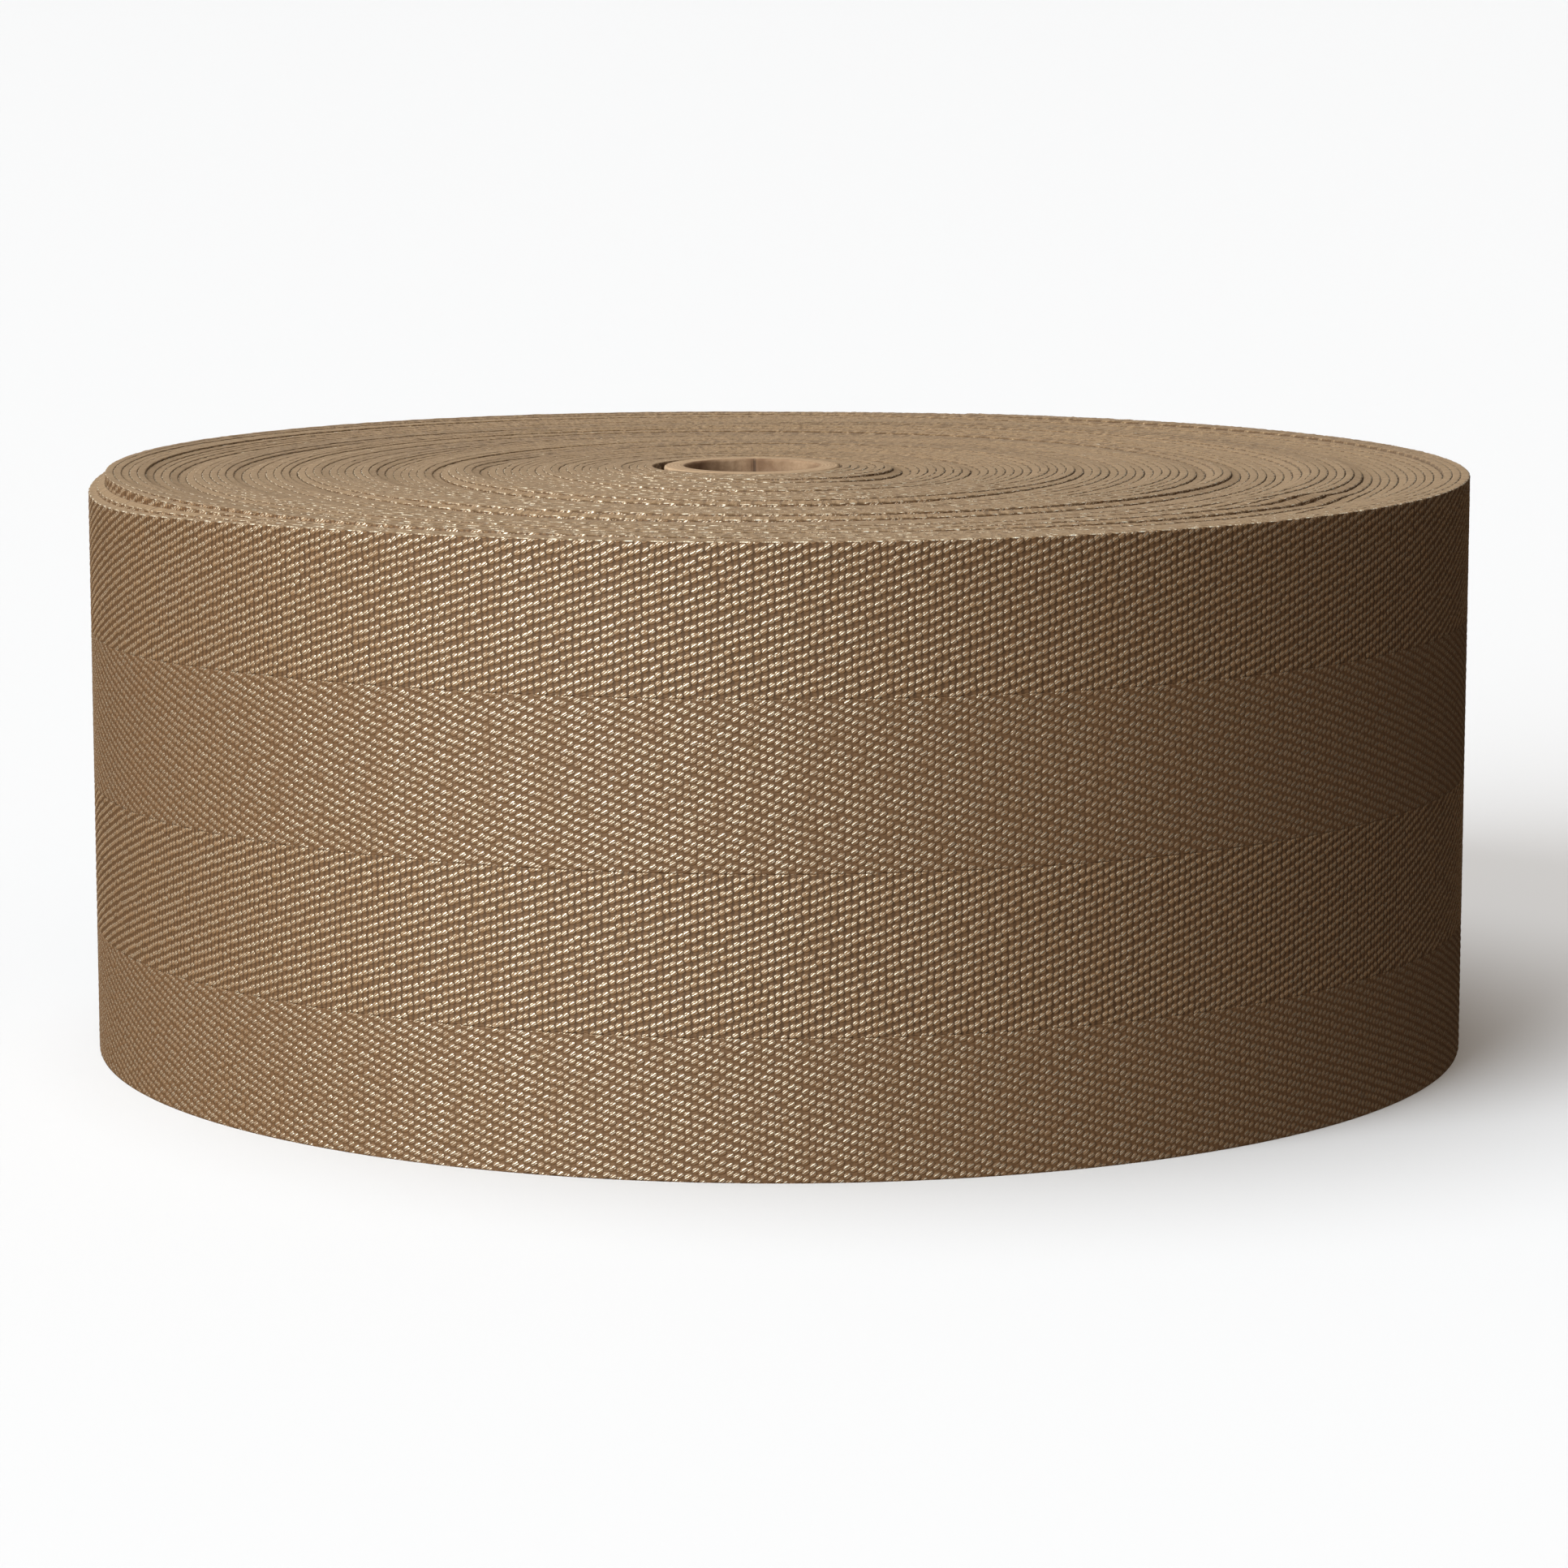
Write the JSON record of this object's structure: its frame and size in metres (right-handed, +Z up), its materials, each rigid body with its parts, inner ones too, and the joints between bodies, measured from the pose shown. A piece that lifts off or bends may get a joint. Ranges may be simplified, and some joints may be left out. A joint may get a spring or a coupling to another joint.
{
  "type": "roll of carpet binding tape",
  "caption": "Roll of woven herringbone twill carpet binding tape, wound in a flat spiral on a paperboard tube and lying on its side edge.",
  "frame": {"origin": "on the surface that the roll lies on, under the middle of the roll", "axes": "+Z up along the roll's axis, +X to the right and +Y away from the viewer, with the tape's outer end at the back"},
  "size_m": [0.168, 0.1676, 0.0705],
  "materials": {
    "twill_tape": "tan brown herringbone twill with a low sheen",
    "paperboard": "matt beige paperboard"
  },
  "bodies": {
    "root": {"wound_tape": "twill_tape", "core_tube": "paperboard"}
  },
  "joints": []
}
